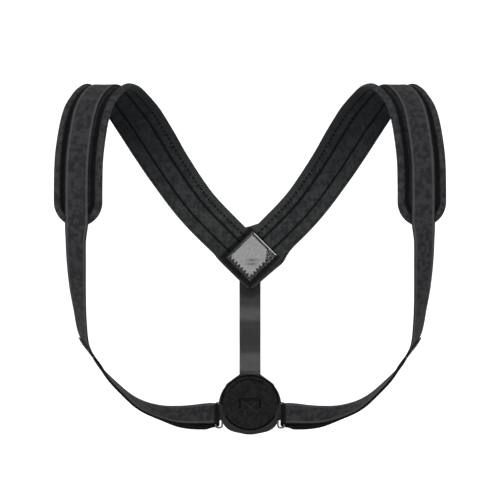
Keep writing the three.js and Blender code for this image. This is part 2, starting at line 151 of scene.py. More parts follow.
# The pads' edges at the junction. The fill of the notch between the pads is how far from the centre plane
# it starts and how steeply it rises. The lower edge's swell is at distances from that plane.
NOTCH_FILL = {"left": [5.4, 1.24], "right": [9.8, 0.69]}
EDGE_SWELL = {
    "left": [[0, 1.2], [13, 1.6], [35, 1.7], [38, 1.4], [42, 0]],
    "right": [[0, 1.2], [13, 3.0], [30, 5.2], [37, 6.6], [40, 6.0], [43, 3.2], [47, 0.8], [52, 0]],
}


def smooth(value, low, high):
    share = np.clip((value - low) / (high - low), 0, 1)
    return share * share * (3 - 2 * share)


def bell(value, middle, width):
    return np.exp(-((value - middle) / width) ** 2)


def stacked(*parts):
    return np.stack(parts, axis=-1)


def unit(vectors):
    return vectors / np.linalg.norm(vectors, axis=-1, keepdims=True)


def body_point(row, drop):
    return [-row[ACROSS] * SHOULDER_HALF, row[BACK] * BODY_DEPTH, -row[DOWN] * drop]


def pad_facing(row):
    pitch = math.radians(row[PITCH])
    lean = math.radians(row[LEAN])
    return [-math.sin(lean), -math.cos(pitch) * math.cos(lean), math.sin(pitch) * math.cos(lean)]


def strap_facing(row):
    turn = math.radians(row[TURN])
    dip = math.radians(row[DIP])
    return [-math.sin(turn) * math.cos(dip), -math.cos(turn) * math.cos(dip), -math.sin(dip)]


def spline(points, shares):
    """Centripetal Catmull-Rom curve through points, at shares of its control spans."""
    points = np.asarray(points, float)
    padded = np.vstack([2 * points[0] - points[1], points, 2 * points[-1] - points[-2]])
    spans = len(points) - 1
    place = np.clip(shares, 0, 1) * spans
    first = np.minimum(place.astype(int), spans - 1)
    weight = (place - first)[:, None]
    p0, p1, p2, p3 = (padded[first + k] for k in range(4))
    near_zero = 1e-4
    step = [np.sum((b - a) ** 2, axis=1)[:, None] ** 0.25 for a, b in ((p0, p1), (p1, p2), (p2, p3))]
    step[1] = np.where(step[1] < near_zero, 1.0, step[1])
    step[0] = np.where(step[0] < near_zero, step[1], step[0])
    step[2] = np.where(step[2] < near_zero, step[1], step[2])
    t1 = ((p1 - p0) / step[0] - (p2 - p0) / (step[0] + step[1]) + (p2 - p1) / step[1]) * step[1]
    t2 = ((p2 - p1) / step[1] - (p3 - p1) / (step[1] + step[2]) + (p3 - p2) / step[2]) * step[1]
    c2 = -3 * p1 + 3 * p2 - 2 * t1 - t2
    c3 = 2 * p1 - 2 * p2 + t1 + t2
    return p1 + t1 * weight + c2 * weight ** 2 + c3 * weight ** 3


class Course:
    """A smooth course through points, with the direction that its outer face looks in."""

    def __init__(self, points, facings):
        divisions = 600
        self.points = points
        self.facings = facings
        self.shares = np.linspace(0, 1, divisions + 1)
        steps = np.diff(spline(points, self.shares), axis=0)
        self.run = np.concatenate([[0], np.cumsum(np.linalg.norm(steps, axis=1))])
        self.length = self.run[-1]

    def share_at(self, lengths):
        return np.interp(lengths, self.run, self.shares)

    def frames(self, lengths):
        share = self.share_at(np.asarray(lengths, float))
        delta = 1e-4
        along = unit(spline(self.points, share + delta) - spline(self.points, share - delta))
        side = unit(np.cross(spline(self.facings, share), along))
        return spline(self.points, share), side, np.cross(along, side)


pad_line = Course(
    [body_point(row, FRONT_DROP) for row in PAD_FRONT] + [body_point(row, VEE_DROP) for row in PAD_BACK],
    [pad_facing(row) for row in PAD_FRONT + PAD_BACK],
)
pad_rows = np.array(PAD_FRONT + PAD_BACK, float)


def pad_share(column, lengths):
    """One column of the pad tables at lengths along the pad."""
    return np.interp(pad_line.share_at(lengths), np.linspace(0, 1, len(pad_rows)), pad_rows[:, column])


def pad_half(lengths):
    """Half width of a pad at lengths along it, with its rounded front end."""
    wide = pad_share(WIDE, lengths)
    inset = np.clip(1 - lengths / PAD_END_LENGTH, 0, 1)
    return PAD_WIDTH / 2 * wide * np.sqrt(1 - inset ** 2)


def edge_share(lengths, across):
    """Distance in from the pad's outline, round its front end too, as a share of its half width."""
    half = PAD_WIDTH / 2
    beside = 1 - np.abs(across) / np.maximum(pad_half(lengths), 1e-3)
    end = 1 - np.hypot(1 - lengths / PAD_END_LENGTH, across / half)
    return np.clip(np.where(lengths < PAD_END_LENGTH, end, beside), 0, 1)


def curve_at(table, values):
    columns = np.array(table)
    return np.interp(values, columns[:, 0], columns[:, 1])


def fine_profile(table):
    """A table of heights drawn as a soft curve, with its first few samples kept sharp."""
    samples, reach, softness, kept = 401, 14, 5.0, 8
    places = np.linspace(0, 1, samples)
    spread = np.exp(-0.5 * (np.arange(-reach, reach + 1) / softness) ** 2)
    heights = np.pad(curve_at(table, places), reach, mode="edge")
    soft = np.convolve(heights, spread / spread.sum(), mode="valid")
    soft[:kept] = curve_at(table, places[:kept])
    return places, soft


OUTER_PROFILE = fine_profile(BAND_OUTER)
INNER_PROFILE = fine_profile(BAND_INNER)


def from_webbing(lengths, across):
    """Distance across a pad from the middle of the webbing on it."""
    return np.abs(across - PAD_WIDTH * pad_share(WEB, lengths))


def pad_outer_rise(lengths, across):
    """Height of the outer face in millimetres: two rolled bands, two channels and the webbing's seat."""
    seat_margin, seat_slope = 0.2, 3.0
    inward = edge_share(lengths, across)
    outer = np.interp(inward, *OUTER_PROFILE)
    inner = np.interp(inward, *INNER_PROFILE)
    rise = np.where(across > 0, outer, inner)
    seat_half = WEB_WIDTH / 2 + seat_margin
    beside_web = smooth(from_webbing(lengths, across), seat_half, seat_half + seat_slope)
    over_seat = np.maximum(0, rise - PAD_SEAT)
    return PAD_THICKNESS * (rise - over_seat * (1 - beside_web))


def lining_marks(lengths, across):
    """How dark the sewn lines of the lining are, from 0 to 1, and their depth in millimetres."""
    dash_low, dash_high, darkness = -0.55, 0.1, 4.5
    half = PAD_WIDTH / 2 * pad_share(WIDE, lengths)
    dash = smooth(np.sin(2 * math.pi * lengths / DASH_PITCH), dash_low, dash_high)
    depth = np.zeros_like(lengths)
    mark = np.zeros_like(lengths)
    clear = smooth(lengths, PAD_END_LENGTH * 0.5, PAD_END_LENGTH * 1.3)
    for place, width, deep in LINING_GROOVES:
        line = bell(across, place * half, width) * clear
        if place == DASHED_GROOVE:
            line = line * dash
        depth = np.maximum(depth, line * deep * PAD_THICKNESS)
        mark = np.maximum(mark, line * min(1, deep * darkness))
    return mark, depth


def pad_lining_rise(lengths, across):
    """Height of the face that touches the wearer, with its sewn lines pressed in."""
    deepest = PAD_THICKNESS * 0.3
    edge = PAD_THICKNESS * curve_at(LINING_EDGE, edge_share(lengths, across))
    _, depth = lining_marks(lengths, across)
    return edge + np.minimum(depth, deepest)


def ring_quads(lower, upper):
    """Faces between closed rings of points and the rings above them."""
    corners = [lower, np.roll(lower, -1, 1), np.roll(upper, -1, 1), upper]
    return stacked(*corners).reshape(-1, 4).tolist()


def capped_quads(index):
    """Faces of a stack of closed rings, with both ends."""
    return ring_quads(index[:-1], index[1:]) + [index[0][::-1].tolist(), index[-1].tolist()]


def sheet_quads(grid):
    """Faces of an open grid of points."""
    corners = [grid[:-1, :-1], grid[1:, :-1], grid[1:, 1:], grid[:-1, 1:]]
    return stacked(*corners).reshape(-1, 4).tolist()


def solid_mesh(name, rings, marks, joined=False):
    """A closed mesh through rings of points, with a mark for each point."""
    count, size = rings.shape[:2]
    index = np.arange(count * size).reshape(count, size)
    if joined:
        polygons = ring_quads(index, np.roll(index, -1, axis=0))
    else:
        polygons = ring_quads(index[:-1], index[1:])
        for ring, flip in ((index[0], True), (index[-1], False)):
            for k in range(size // 2 - 1):
                corners = [ring[k], ring[k + 1], ring[size - 2 - k], ring[size - 1 - k]]
                corners = [int(c) for c in dict.fromkeys(corners)]
                polygons.append(corners[::-1] if flip else corners)
    return make_object(name, rings.reshape(-1, 3), polygons, marks.reshape(-1, 3))


def add_object(name, data):
    made = bpy.data.objects.new(name, data)
    bpy.context.scene.collection.objects.link(made)
    return made


def smooth_mesh(name, points, polygons):
    mesh = bpy.data.meshes.new(name)
    mesh.from_pydata(points, [], polygons)
    mesh.validate()
    mesh.polygons.foreach_set("use_smooth", [True] * len(mesh.polygons))
    return mesh


def make_object(name, points, polygons, marks):
    """An object with points in millimetres and the marks that the materials read."""
    mesh = smooth_mesh(name, (points * MM).tolist(), polygons)
    cloth = mesh.attributes.new("cloth", "FLOAT_VECTOR", "POINT")
    cloth.data.foreach_set("vector", np.asarray(marks, np.float32).ravel())
    turn_outward(mesh)
    return add_object(name, mesh)


def turn_outward(mesh):
    edit = bmesh.new()
    edit.from_mesh(mesh)
    bmesh.ops.recalc_face_normals(edit, faces=edit.faces)
    edit.to_mesh(mesh)
    edit.free()


def finish_piece(piece, slot, materials, *nodes):
    for material in materials:
        piece.data.materials.append(material)
    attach(piece, "root")
    if nodes:
        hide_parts(*nodes)


def pad_columns():
    """Places across a pad, closest together at its edges and its sewn lines."""
    count, samples = 78, 2001
    edge_weight, edge_spread, line_weight, line_spread = 3.0, 0.05, 1.6, 0.06
    lines = (0.72, 0.45, -0.5, -0.68, 0.38, -0.32, -0.66, 0.9)
    across = np.linspace(0, 1, samples) * 2 - 1
    weight = np.ones_like(across)
    weight += edge_weight * bell(np.abs(across), 1, edge_spread)
    for place in lines:
        weight += line_weight * bell(across, place, line_spread)
    run = np.cumsum(weight)
    return np.interp(np.linspace(run[0], run[-1], count), run, across)[::-1]


def pad_end_lengths(shares):
    """Where each column of a pad ends: at the seam between the pads, or at the rounded point of the V."""
    searched, tries = 150, 900
    tried = np.linspace(pad_line.length - searched, pad_line.length, tries)
    grid_lengths = np.repeat(tried[:, None], len(shares), axis=1)
    grid_across = pad_half(grid_lengths) * shares
    at, side, _ = pad_line.frames(grid_lengths.ravel())
    place = (at + side * grid_across.reshape(-1, 1)).reshape(tries, len(shares), 3)
    past_seam = place[..., 0] + SEAM_GAP / 2
    tip = -VEE_DROP - VEE_TIP_TRIM + place[..., 0] ** 2 / (2 * VEE_TIP_RADIUS)
    past_tip = np.where(np.abs(place[..., 0]) < VEE_TIP_RADIUS, tip - place[..., 2], -1)
    past = np.maximum(past_seam, past_tip)
    first = np.argmax(past > 0, axis=0)
    first = np.where((past > 0).any(axis=0), np.maximum(first, 1), tries - 1)
    columns = np.arange(len(shares))
    before, after = past[first - 1, columns], past[first, columns]
    weight = np.clip(-before / np.maximum(after - before, 1e-9), 0, 1)
    return tried[first - 1] + (tried[first] - tried[first - 1]) * weight


def pad_lengths(shares):
    """Lengths along the pad at each row and column: the round front end, the even run, then the tail."""
    round_rows, even_rows, tail_rows = 26, 374, 130
    first_turn, tail_length = 0.06, 170
    turn = np.linspace(first_turn, 1, round_rows) * math.pi / 2
    near_end = PAD_END_LENGTH * (1 - np.cos(turn))
    tail_start = pad_line.length - tail_length
    even = np.linspace(PAD_END_LENGTH, tail_start, even_rows)[1:]
    tail = np.linspace(0, 1, tail_rows)[1:, None]
    body = np.repeat(np.concatenate([near_end, even])[:, None], len(shares), axis=1)
    return np.vstack([body, tail_start + (pad_end_lengths(shares) - tail_start) * tail])


def round_section(outer, lining):
    """Rows across the outer face and back across the lining, with the points of each edge only once."""
    return np.concatenate([outer, lining[:, -2:0:-1]], axis=1)


def pad_marks(lengths, across, shares):
    """Marks of a pad: darker cloth and painted shade in its channels, painted shade under the webbing, and
    black in the lining's sewn lines.
    """
    channel_floor, channel_top = 0.4, 0.8
    web_outside, web_inside = WEB_WIDTH / 2 + 0.3, WEB_WIDTH / 2 - 0.7
    channel = smooth(-pad_outer_rise(lengths, across) / PAD_THICKNESS, -channel_top, -channel_floor)
    covered = smooth(-from_webbing(lengths, across), -web_outside, -web_inside)
    outer = np.maximum(channel, covered) * smooth(edge_share(lengths, across), 0.1, 0.2)
    lining, _ = lining_marks(lengths, across)
    even_across = np.broadcast_to(shares * PAD_WIDTH / 2, across.shape)
    return round_section(*[stacked(lengths, even_across, mark) for mark in (outer, lining)])


def shape_junction(rings, shares, side):
    """Fills the notch between the pads and swells their lower edges at the junction."""
    back_start, back_end = 40, 60
    fill_start, fill_slope = NOTCH_FILL[side]
    ring_shares = np.concatenate([shares, shares[-2:0:-1]])
    on_back = smooth(rings[..., 1], back_start, back_end)
    fill = np.maximum(0, rings[..., 0] + fill_start) * fill_slope * smooth(-ring_shares, 0.1, 1.0)
    swell = curve_at(EDGE_SWELL[side], -rings[..., 0]) * smooth(ring_shares, 0.35, 1.0)
    rings[..., 2] += (fill - swell) * on_back


def make_pad(side, mirror, materials):
    """One pad: a knitted outer face, and a lining that touches the wearer."""
    shares = pad_columns()
    lengths = pad_lengths(shares)
    across = pad_half(lengths) * shares
    at, beside, out = pad_line.frames(lengths.ravel())
    sheets = []
    for rise_of in (pad_outer_rise, pad_lining_rise):
        rise = rise_of(lengths, across)
        place = at + beside * across.reshape(-1, 1) + out * rise.reshape(-1, 1)
        sheets.append(place.reshape(*lengths.shape, 3))
    rings = round_section(*sheets)
    shape_junction(rings, shares, side)
    rings[..., 0] *= mirror
    piece = solid_mesh(f"pad_{side}_padding", rings, pad_marks(lengths, across, shares))
    size = rings.shape[1]
    body_faces = (len(lengths) - 1) * size
    chosen = np.zeros(len(piece.data.polygons), np.int32)
    chosen[:body_faces] = np.arange(body_faces) % size >= len(shares) - 1
    finish_piece(piece, "pad_fabric", materials, f"pad_{side}")
    piece.data.polygons.foreach_set("material_index", chosen)


def to_disc(points):
    """Points of the disc's own leaning frame, in the frame of the whole brace."""
    points = np.asarray(points, float)
    cos, sin = math.cos(WAIST_LEAN), math.sin(WAIST_LEAN)
    x, y, z = points[..., 0], points[..., 1], points[..., 2]
    return stacked(x, WAIST_DEPTH + y * cos + z * sin, -WAIST_DROP - y * sin + z * cos)


DISC_OUT = np.array([0, math.cos(WAIST_LEAN), -math.sin(WAIST_LEAN)])
DISC_UP = np.array([0, math.sin(WAIST_LEAN), math.cos(WAIST_LEAN)])
INNER_BAR = DISC_RADIUS - RING_INSET
OUTER_BAR = INNER_BAR + RING_WIDTH - RING_WIRE
TURN_RADIUS = RING_WIRE / 2 + GAP + WEB_THICKNESS / 2
X_AXIS = np.array([1.0, 0, 0])


def ring_turn():
    """Frames of the webbing's turn round the outer bar of a ring."""
    steps, loop_reach = 14, 1.8
    places, sides, outs = [], [], []
    for i in range(1, steps):
        angle = i / steps * math.pi
        centre = to_disc([-OUTER_BAR, 0, -RING_DROP]) + DISC_UP * RETURN_SKEW * (0.5 - i / steps)
        out = DISC_OUT * math.cos(angle) - X_AXIS * math.sin(angle)
        places.append(centre - out * TURN_RADIUS + X_AXIS * loop_reach * math.sin(angle))
        sides.append(-DISC_UP)
        outs.append(out)
    return places, sides, outs


def strap_frames():
    """Frames of the webbing from the junction over the pad to the ring and back, and its painted shade."""
    pad_step, pad_start, pad_end, run_steps, lead_step = 2.0, 12, 7, 240, 4
    layers_part, layers_close = 4, 34
    skew_full, skew_fade, skew_gone = 14, 26, 75
    ring_dark, ring_lit, end_lit, end_dark = 1.2, 2.2, 7, 13
    seat = PAD_THICKNESS * PAD_SEAT + GAP + WEB_THICKNESS / 2
    on_pad = np.arange(pad_line.length - pad_start, pad_end, -pad_step)
    at, side, out = pad_line.frames(on_pad)
    aside = PAD_WIDTH * pad_share(WEB, on_pad)[:, None]
    pad_at, pad_side, pad_out = at + out * seat + side * aside, -side, out
    ring_point = to_disc([-OUTER_BAR, -TURN_RADIUS, -RING_DROP]) + DISC_UP * RETURN_SKEW / 2
    near = ring_point - X_AXIS * RING_WIDTH
    lead = [-lead_step, -1]
    line = Course(
        [*pad_at[lead], *[body_point(row, WAIST_DROP) for row in STRAP_RUN], near, ring_point],
        [*pad_out[lead], *[strap_facing(row) for row in STRAP_RUN], DISC_OUT, DISC_OUT],
    )
    lead_length = np.linalg.norm(pad_at[-1] - pad_at[-lead_step])
    run_at, run_side, run_out = line.frames(np.linspace(lead_length, line.length, run_steps)[1:])
    turn_at, turn_side, turn_out = ring_turn()
    low = run_at[:, 2] < -RETURN_DROP
    back_at, back_side, back_out = (values[low][::-1] for values in (run_at, run_side, run_out))
    away = np.linalg.norm(back_at - ring_point, axis=1)
    closed = WEB_THICKNESS + GAP - 2 * TURN_RADIUS
    apart = 2 * TURN_RADIUS + closed * smooth(away, layers_part, layers_close)
    skew = RETURN_SKEW * (1 + smooth(away, 0, skew_full)) * (1 - smooth(away, skew_fade, skew_gone))
    back_at = back_at + back_out * apart[:, None] + back_side * skew[:, None]
    to_end = np.linalg.norm(back_at - back_at[-1], axis=1)
    to_ring = np.linalg.norm(run_at - ring_point, axis=1)
    # Painted shade: black round the ring's turn and along the return layer, lighter again near the return's
    # end.
    painted_shade = np.concatenate([
        np.zeros(len(pad_at)),
        smooth(-to_ring, -ring_lit, -ring_dark),
        np.ones(len(turn_at)),
        smooth(to_end, end_lit, end_dark),
    ])
    return (
        np.vstack([pad_at, run_at, turn_at, back_at]),
        np.vstack([pad_side, run_side, turn_side, back_side]),
        np.vstack([pad_out, run_out, turn_out, -back_out]),
        painted_shade,
    )


def web_section(width, thickness):
    """Cross-section of a webbing: thicker selvedges and rounded edges, as places across and heights."""
    edge = np.array([1.0, 0.985, 0.95, 0.9, 0.8])
    inner_half, inner_columns = 0.7, 12
    heights = [[0, 0.8], [0.62, 0.84], [0.7, 1.0], [0.9, 1.0], [0.95, 0.92], [0.985, 0.62], [1, 0.18]]
    across = np.concatenate([edge, np.linspace(inner_half, -inner_half, inner_columns), -edge[::-1]])
    rise = curve_at(heights, np.abs(across))
    upper = stacked(across * width / 2, rise * thickness / 2)
    lower = stacked(across[::-1] * width / 2, -rise[::-1] * thickness / 2)
    return np.vstack([upper, lower])


def make_webbing(name, frames, slot, material, mirror=1,
                 width=WEB_WIDTH, thickness=WEB_THICKNESS, nodes=()):
    """Webbing along frames: places, sides, outs and, where it isn't lit all along, its painted shade."""
    places, sides, outs, *painted_shade = frames
    section = web_section(width, thickness)
    rings = places[:, None] + sides[:, None] * section[None, :, :1] + outs[:, None] * section[None, :, 1:]
    steps = np.linalg.norm(np.diff(places, axis=0), axis=1)
    run = np.concatenate([[0], np.cumsum(steps)])
    marks = np.zeros((*rings.shape[:2], 3))
    marks[..., 0] = run[:, None]
    marks[..., 1] = section[None, :, 0]
    if painted_shade:
        marks[..., 2] = painted_shade[0][:, None]
    rings[..., 0] *= mirror
    piece = solid_mesh(name, rings, marks)
    finish_piece(piece, slot, [material], *nodes)


def grey(level):
    return (level, level, level)


class Graph:
    """A procedural material built round its Principled shader."""

    def __init__(self, name, roughness, **sockets):
        self.material = bpy.data.materials.new(name)
        self.material.use_nodes = True
        self.tree = self.material.node_tree
        self.shader = self.tree.nodes["Principled BSDF"]
        self.shader.inputs["Roughness"].default_value = roughness
        for socket, value in sockets.items():
            self.shader.inputs[socket.replace("_", " ")].default_value = value
        self.place = self.node("ShaderNodeTexCoord").outputs["Object"]
        marks = self.node("ShaderNodeAttribute")
        marks.attribute_name = "cloth"
        self.along, self.across, self.mark = self.parts(marks.outputs["Vector"])

    def node(self, kind, **settings):
        made = self.tree.nodes.new(kind)
        for key, value in settings.items():
            setattr(made, key, value)
        return made

    def link(self, source, target):
        self.tree.links.new(source, target)

    def math(self, operation, *values):
        made = self.node("ShaderNodeMath", operation=operation)
        for socket, value in zip(made.inputs, values):
            if isinstance(value, (int, float)):
                socket.default_value = value
            else:
                self.link(value, socket)
        return made.outputs[0]

    def times(self, first, second):
        return self.math("MULTIPLY", first, second)

    def plus(self, first, second):
        return self.math("ADD", first, second)

    def parts(self, vector):
        split = self.node("ShaderNodeSeparateXYZ")
        self.link(vector, split.inputs[0])
        return split.outputs

    def wave(self, value, pitch):
        return self.math("SINE", self.times(value, 2 * math.pi / pitch))

    def noise(self, size, detail, stretch=(1, 1, 1)):
        """Noise with features of about size millimetres."""
        made = self.node("ShaderNodeTexNoise")
        made.inputs["Scale"].default_value = 1 / (size * MM)
        made.inputs["Detail"].default_value = detail
        mapping = self.node("ShaderNodeMapping")
        mapping.inputs["Scale"].default_value = stretch
        self.link(self.place, mapping.inputs["Vector"])
        self.link(mapping.outputs[0], made.inputs["Vector"])
        return made.outputs["Fac"]

    def range(self, value, low, high, start=0.0, end=1.0):
        made = self.node("ShaderNodeMapRange")
        made.interpolation_type = "SMOOTHSTEP"
        self.link(value, made.inputs["Value"])
        for socket, number in zip(("From Min", "From Max", "To Min", "To Max"), (low, high, start, end)):
            made.inputs[socket].default_value = number
        return made.outputs["Result"]

    def mix(self, factor, first, second):
        made = self.node("ShaderNodeMix", data_type="RGBA")
        sockets = (made.inputs["Factor"], made.inputs[6], made.inputs[7])
        for socket, value in zip(sockets, (factor, first, second)):
            if isinstance(value, (int, float)):
                socket.default_value = value
            elif isinstance(value, tuple):
                socket.default_value = (*value, 1)
            else:
                self.link(value, socket)
        return made.outputs[2]

    def color(self, source):
        self.link(source, self.shader.inputs["Base Color"])

    def bump(self, height, distance):
        made = self.node("ShaderNodeBump")
        made.inputs["Distance"].default_value = distance * MM
        self.link(height, made.inputs["Height"])
        self.link(made.outputs[0], self.shader.inputs["Normal"])


def knit_cloth():
    """Brushed knit of the pads' outer face, with darker channels and painted shade in them and under the
    webbing.
    """
    dark, light, fleck_tone = (0.012, 0.014, 0.0175), (0.04, 0.041, 0.044), (0.056, 0.057, 0.06)
    channel_cloth_and_shade_tone = (0.0022, 0.0022, 0.0025)
    g = Graph("knit_cloth", 0.9, Specular_IOR_Level=0.07, Sheen_Weight=0.03, Sheen_Roughness=0.5)
    fleck = g.range(g.noise(1.4, 2), 0.35, 0.7)
    base = g.mix(g.range(g.noise(5.5, 4), 0.38, 0.62), dark, light)
    base = g.mix(g.times(fleck, 0.45), base, fleck_tone)
    # The mark paints shade: in the channels, over their darker cloth, and under the webbing.
    g.color(g.mix(g.times(g.mark, 0.93), base, channel_cloth_and_shade_tone))
    loops = g.times(g.wave(g.along, 1.5), g.wave(g.across, 1.3))
    g.bump(g.plus(loops, g.times(g.noise(0.8, 2), 2.0)), 0.14)
    return g.material


def lining_cloth():
    """Perforated lining of the pads: black sewn lines, a hatched binding and a painted shadow round the
    patch.
    """
    dark, light, fleck_tone = (0.017, 0.021, 0.022), (0.04, 0.043, 0.043), (0.05, 0.053, 0.053)
    binding_tone, hatch_tone = (0.007, 0.008, 0.008), (0.066, 0.067, 0.067)
    hole_tone, rim_tone, crest_shade_tone = (0.006, 0.007, 0.008), (0.05, 0.051, 0.052), (0.005, 0.0075, 0.010)
    patch_shadow_tone, line_tone = grey(0.003), grey(0.0012)
    pitch, hole_radius, hole_blur = 8.2, 0.7, 1.25
    crest_low, crest_high, patch_shadow_reach, patch_shadow_end = -0.15, -0.03, 0.0335, 0.0385
    g = Graph("lining_cloth", 0.86, Specular_IOR_Level=0.08, Sheen_Weight=0.03, Sheen_Roughness=0.5)
    row = g.math("DIVIDE", g.across, pitch / 2)
    shift = g.times(g.math("MODULO", g.math("ABSOLUTE", g.math("FLOOR", row)), 2.0), pitch / 2)
    down = g.math("SUBTRACT", g.math("FRACT", g.math("DIVIDE", g.plus(g.along, shift), pitch)), 0.5)
    over = g.math("SUBTRACT", g.math("FRACT", row), 0.5)
    down_square = g.math("POWER", g.times(down, pitch), 2.0)
    over_square = g.math("POWER", g.times(over, pitch / 2), 2.0)
    far = g.math("SQRT", g.plus(down_square, over_square))
    hole = g.times(g.range(far, hole_radius, hole_blur, 1.0, 0.0), g.range(g.across, -17.5, -16.5))
    bound = g.range(g.across, -18.9, -18.0, 1.0, 0.0)
    hatch = g.wave(g.plus(g.along, g.times(g.across, 0.8)), 3.0)
    hatch = g.times(g.math("MULTIPLY_ADD", hatch, 0.5, 0.5), bound)
    worn = g.times(hole, g.range(g.noise(6, 2), 0.35, 0.65, 0.15, 0.6))
    base = g.mix(g.range(g.noise(7, 4), 0.38, 0.62), dark, light)
    base = g.mix(g.times(g.range(g.noise(1.3, 3), 0.35, 0.7), 0.4), base, fleck_tone)
    base = g.mix(g.times(bound, 0.45), base, binding_tone)
    base = g.mix(g.times(hatch, 0.75), base, hatch_tone)
    base = g.mix(worn, base, hole_tone)
    # Painted highlight: a lighter band along the lining's outer edge, which is the edge of the V at the
    # back.
    base = g.mix(g.range(g.across, 24.0, 24.9, 0.0, 0.6), base, rim_tone)
    x, _, height_up = g.parts(g.place)
    # Painted shade: the lining darkens towards the crest, inside the arch of the pad.
    base = g.mix(g.range(height_up, crest_low, crest_high, 0.0, 0.62), base, crest_shade_tone)
    # Painted shadow round the patch: the lining is darkened in a diamond around it.
    from_middle = g.math("ABSOLUTE", g.math("SUBTRACT", height_up, (PATCH_LIFT - VEE_DROP) * MM))
    from_patch = g.plus(g.math("ABSOLUTE", x), from_middle)
    base = g.mix(g.range(from_patch, patch_shadow_reach, patch_shadow_end, 0.85, 0.0), base, patch_shadow_tone)
    g.color(g.mix(g.times(g.mark, 0.98), base, line_tone))
    weave = g.times(g.wave(g.along, 1.1), g.wave(g.across, 1.1))
    height = g.plus(g.times(weave, 0.35), g.times(hatch, 1.6))
    height = g.plus(height, g.times(g.noise(0.9, 2), 1.4))
    g.bump(g.math("SUBTRACT", height, g.times(hole, 2.6)), 0.16)
    return g.material


def web_cloth(name, dark, light, edge, rough):
    """Woven webbing: chevron ribs, and plainer and lighter selvedges."""
    rim_tone, shaded_tone = grey(0.004), (0.002, 0.002, 0.0022)
    g = Graph(name, rough, Specular_IOR_Level=0.12, Sheen_Weight=0.03, Sheen_Roughness=0.45)
    folded = g.math("PINGPONG", g.across, 1.6)
    ribs = g.wave(g.plus(g.along, g.times(folded, 0.9)), 1.25)
    yarn = g.wave(g.across, 0.8)
    from_middle = g.math("ABSOLUTE", g.across)
    selvedge = g.times(g.range(from_middle, 8.2, 10.4), g.range(from_middle, 11.0, 11.9, 1.0, 0.0))
    base = g.mix(g.range(g.noise(5.5, 4), 0.38, 0.62), dark, light)
    base = g.mix(g.times(g.math("MULTIPLY_ADD", ribs, 0.5, 0.5), 0.14), base, edge)
    base = g.mix(g.times(selvedge, 0.62), base, edge)
    base = g.mix(g.range(from_middle, 11.3, 12.2, 0.0, 0.8), base, rim_tone)
    # The mark paints shade: black at the ring's turn and on the return layer of the side straps.
    g.color(g.mix(g.times(g.mark, 0.95), base, shaded_tone))
    g.bump(g.plus(g.plus(ribs, g.times(yarn, 0.35)), g.times(g.noise(1.2, 2), 1.2)), 0.12)
    return g.material


def satin_cloth():
    """Smooth satin webbing of the back strap, with a painted shadow of the V's tip where it comes out from
    behind the pads, made matt there too.
    """
    dark, light = (0.0035, 0.0035, 0.004), (0.0075, 0.0075, 0.008)
    rim_tone, shaded_tone = grey(0.005), grey(0.001)
    gloss, matt, shade_start, shade_end, arch_rise = 0.3, 0.95, 68, 77, 0.04
    g = Graph("satin_cloth", gloss, Specular_IOR_Level=0.78)
    from_middle = g.math("ABSOLUTE", g.across)
    base = g.mix(g.range(g.noise(3.0, 2, (1, 1, 0.08)), 0.3, 0.7), dark, light)
    base = g.mix(g.times(g.range(from_middle, 11.4, 12.2), 0.8), base, rim_tone)
    # Painted shadow of the V's tip: its edge arches, reaching lower in the middle of the strap.
    arch = g.plus(g.along, g.times(g.math("POWER", from_middle, 2.0), arch_rise))
    g.link(g.range(arch, shade_start, shade_end, matt, gloss), g.shader.inputs["Roughness"])
    g.color(g.mix(g.range(arch, shade_start, shade_end, 0.95, 0.0), base, shaded_tone))
    g.bump(g.plus(g.wave(g.across, 0.7), g.times(g.wave(g.along, 0.9), 0.4)), 0.05)
    return g.material


def patch_leather():
    """Glossy coated leather, with a painted highlight along the patch's upper right edge."""
    dark, light, highlight_tone = (0.009, 0.009, 0.010), (0.016, 0.016, 0.017), (0.62, 0.62, 0.6)
    grain_size = 0.9
    g = Graph("patch_leather", 0.2, Specular_IOR_Level=0.85)
    g.color(g.mix(g.mark, g.mix(g.range(g.noise(4, 3), 0.3, 0.7), dark, light), highlight_tone))
    grain = g.node("ShaderNodeTexVoronoi")
    grain.inputs["Scale"].default_value = 1 / (grain_size * MM)
    g.link(g.place, grain.inputs["Vector"])
    g.bump(g.plus(grain.outputs["Distance"], g.noise(3.0, 3)), 0.06)
    return g.material


def disc_cloth():
    """Dense dark fabric of the disc, lighter on its rim and black in its sewn lines."""
    dark, light, fleck_tone = (0.0085, 0.0088, 0.009), (0.018, 0.0185, 0.0185), grey(0.03)
    rim_tone, line_tone = (0.034, 0.034, 0.036), grey(0.0006)
    g = Graph("disc_cloth", 0.88, Specular_IOR_Level=0.04)
    base = g.mix(g.range(g.noise(5, 4), 0.35, 0.65), dark, light)
    base = g.mix(g.times(g.range(g.noise(0.9, 2), 0.35, 0.7), 0.3), base, fleck_tone)
    base = g.mix(g.range(g.mark, 0.0, -1.0, 0.0, 0.75), base, rim_tone)
    g.color(g.mix(g.range(g.mark, 0.0, 0.8), base, line_tone))
    weave = g.times(g.wave(g.along, 1.0), g.wave(g.across, 1.0))
    g.bump(g.plus(weave, g.times(g.noise(0.8, 2), 2.0)), 0.12)
    return g.material


def steel():
    """Nickel-plated wire with faint wear."""
    dull, bright = grey(0.07), (0.12, 0.12, 0.118)
    g = Graph("ring_steel_plate", 0.36, Metallic=1.0)
    g.color(g.mix(g.range(g.noise(2.5, 3), 0.3, 0.7), dull, bright))
    g.bump(g.noise(0.6, 2), 0.01)
    return g.material


def thread(name, tone):
    """Twisted sewing thread."""
    worn_tone = tuple(1.6 * part for part in tone)
    g = Graph(name, 0.6, Specular_IOR_Level=0.4)
    g.color(g.mix(g.range(g.noise(0.8, 2), 0.3, 0.7), tone, worn_tone))
    g.bump(g.noise(0.25, 2), 0.05)
    return g.material


